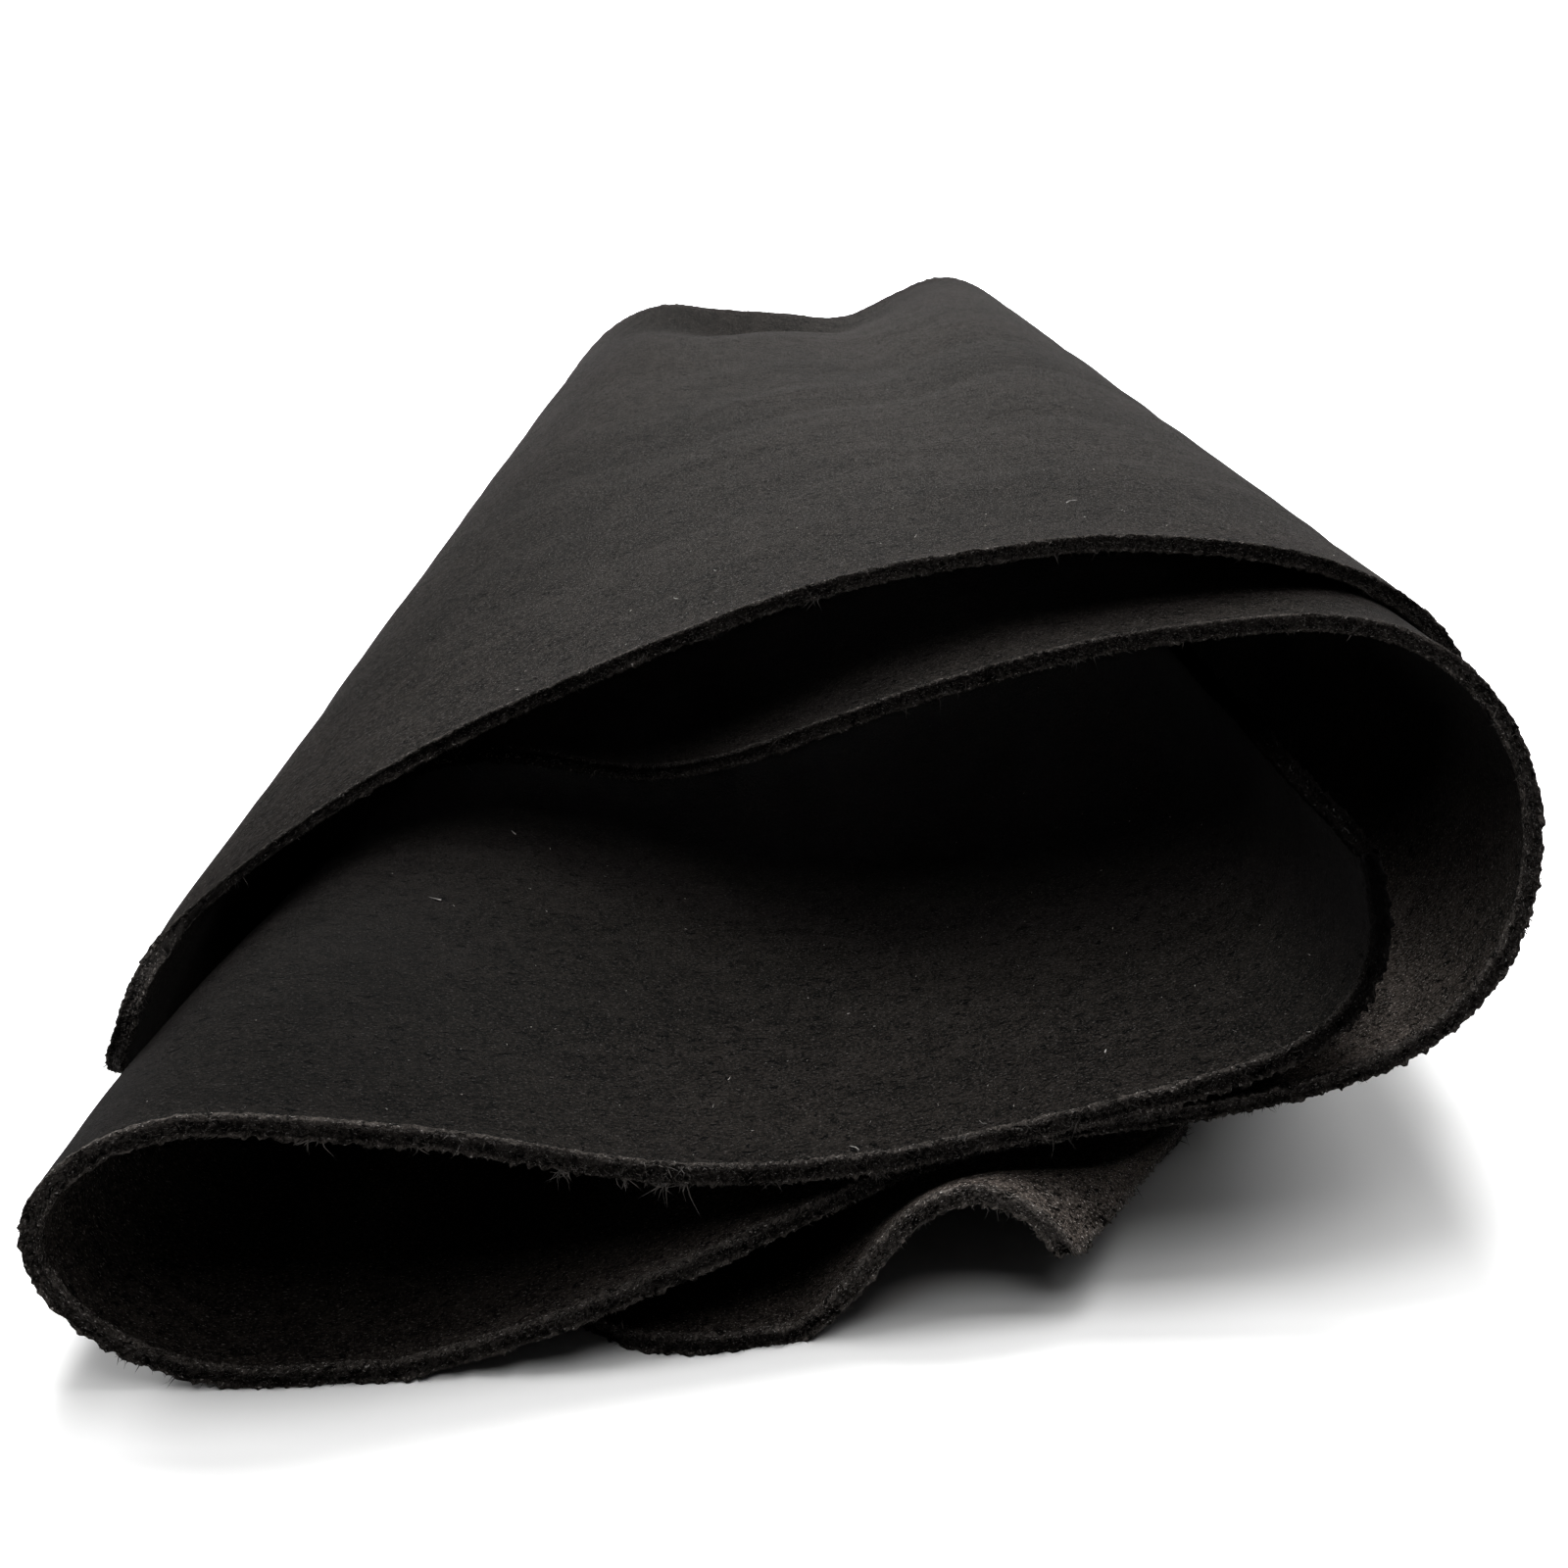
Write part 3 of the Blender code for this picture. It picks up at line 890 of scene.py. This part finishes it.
def edge_fibres(name, side, density, longest, material=LOOSE):
    """Loose fibres in clumps along one side of the cut, so many to a millimetre."""
    reach = edge_places(side)[-1]
    count = int(density * reach)
    at = RANDOM.uniform(NEAR_FIBRES_START if side == "near" else 0, reach, count)
    face = RANDOM.choice(FIBRE_FACES, count, p=FIBRE_SHARES)
    face = face * RANDOM.uniform(0.75, 1.0, count)
    clump = (0.5 + 0.5 * lumps(at, face, CLUMP_SIZE, 8)) ** 2
    in_by = RANDOM.uniform(-0.05, 0.35, count)
    roots, inward, onward, across = strand_frame(side, at, in_by, face)
    lean = 1.1 * lumps(at, face, LEAN_SIZE, 9) + RANDOM.normal(0, 0.5, count)
    lift = face * 0.45 + RANDOM.normal(0, 0.35, count)
    ways = -inward + onward * lean[:, None] + across * lift[:, None]
    lengths = FIBRE_SHORTEST + longest * clump * RANDOM.exponential(0.55, count).clip(0, 2.4)
    widths = RANDOM.uniform(*FIBRE_WIDTHS, count)
    return fibres(name, roots, ways, lengths, widths, material, curl=0.5)


hide = sheet()
edges = [cut_edge(side) for side in SIDES]
fuzz = [
    edge_fibres("fibres_near", "near", density=15, longest=0.9),
    edge_fibres("fibres_far", "far", density=4, longest=0.9),
    # The start side's fibres take the painted-shade fibre material.
    edge_fibres("fibres_start", "start", density=3, longest=0.5, material=PAINTED_SHADE_FIBRES),
    edge_fibres("fibres_end", "end", density=6, longest=0.9),
    tufts(),
    lint(),
]
pieces = [hide, *edges, *fuzz]
for piece in pieces:
    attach(piece, "root")
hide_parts("hide")


# ---------------------------------------------------------------- floor, light and camera


# The floor and the backdrop that it curves up into, in metres: where the flat floor's rows are,
# where the curve starts, its radius, half the width, how high the backdrop is, and the colour.
FLOOR_ROWS = (-2.5, -0.6, 0.6)
CURVE_START = 1.6
CURVE_RADIUS = 0.7
HALF_WIDTH = 3.0
BACKDROP_TOP = 3.0
FLOOR_COLOUR = (0.68, 0.68, 0.68, 1)


def white_sweep():
    """A white floor that curves up into a backdrop behind."""
    material, nodes, _ = new_material("white_sweep")
    shader = nodes["Principled BSDF"]
    shader.inputs["Base Color"].default_value = FLOOR_COLOUR
    shader.inputs["Roughness"].default_value = 0.9
    shader.inputs["Specular IOR Level"].default_value = 0.2
    bend = np.linspace(0, pi / 2, 17)
    curve_y = CURVE_START + CURVE_RADIUS * np.sin(bend)
    curve_z = CURVE_RADIUS * (1 - np.cos(bend))
    y = np.concatenate([FLOOR_ROWS, curve_y, [CURVE_START + CURVE_RADIUS]])
    z = np.concatenate([np.zeros(len(FLOOR_ROWS)), curve_z, [BACKDROP_TOP]])
    x, y = np.meshgrid(np.linspace(-HALF_WIDTH, HALF_WIDTH, 5), y)
    points = np.stack([x, y, np.broadcast_to(z[:, None], x.shape)], -1)
    floor = mesh_object("white_sweep", points, quads(*x.shape, flip=True), (material,))


# Soft square lights round the part. polar is the angle from straight up and around the one from
# the camera's side, going to the right, both in degrees; power is in watts.
Lamp = namedtuple("Lamp", "name polar around power")
LIGHTS = (
    Lamp("overhead", 0, 0, 27),
    Lamp("behind_high", 30, 180, 68),
    Lamp("right_high", 30, 90, 11),
    Lamp("front_high", 30, 0, 11),
    Lamp("behind_low", 60, 180, 52),
    Lamp("behind_left", 60, 225, 20),
    Lamp("behind_right", 60, 135, 17),
    Lamp("left_low", 60, 270, 13),
)
# How far from the origin the lights are, how large and what they point at, in metres.
LAMP_DISTANCE = 2
LAMP_SIZE = (0.9, 0.9)
LAMP_TARGET = (0, 0, 0.02)
WORLD_STRENGTH = 0.03


def area_light(name, place, target, size, power):
    """A rectangular light that points at the target."""
    light = bpy.data.lights.new(name, "AREA")
    light.shape = "RECTANGLE"
    light.size, light.size_y = size
    light.energy = power
    lamp = bpy.data.objects.new(name, light)
    lamp.location = place
    lamp.rotation_euler = (Vector(target) - Vector(place)).to_track_quat("-Z", "Y").to_euler()
    bpy.context.scene.collection.objects.link(lamp)


# Where the camera stands, in the tables' millimetres, and how far it looks down and to the right.
EYE = (0.0, -145.2, 92.0)
PITCH = 17 * pi / 180
YAW = 1.34 * pi / 180


def camera():
    """The photograph's camera."""
    lens = bpy.data.cameras.new("camera")
    lens.lens = 50
    lens.sensor_width = 36
    lens.clip_start = 0.01
    eye = bpy.data.objects.new("camera", lens)
    eye.location = Vector(to_frame(np.array(EYE)))
    look = Vector((np.sin(YAW) * np.cos(PITCH), np.cos(YAW) * np.cos(PITCH), -np.sin(PITCH)))
    eye.rotation_euler = look.to_track_quat("-Z", "Y").to_euler()
    bpy.context.scene.collection.objects.link(eye)
    bpy.context.scene.camera = eye


white_sweep()
for light in LIGHTS:
    polar, around = light.polar * pi / 180, light.around * pi / 180
    aside, up = np.sin(polar), np.cos(polar)
    place = LAMP_DISTANCE * np.array([aside * np.sin(around), -aside * np.cos(around), up])
    area_light(light.name, place, LAMP_TARGET, LAMP_SIZE, light.power)
area_light(
    "backdrop_light", place=(0.0, 1.0, 1.7), target=(0, 2.3, 0.5), size=(1.6, 0.5), power=30
)
world = bpy.data.worlds.new("studio")
world.use_nodes = True
world.node_tree.nodes["Background"].inputs["Color"].default_value = (1, 1, 1, 1)
world.node_tree.nodes["Background"].inputs["Strength"].default_value = WORLD_STRENGTH
bpy.context.scene.world = world
bpy.context.scene.view_settings.view_transform = "Standard"
camera()
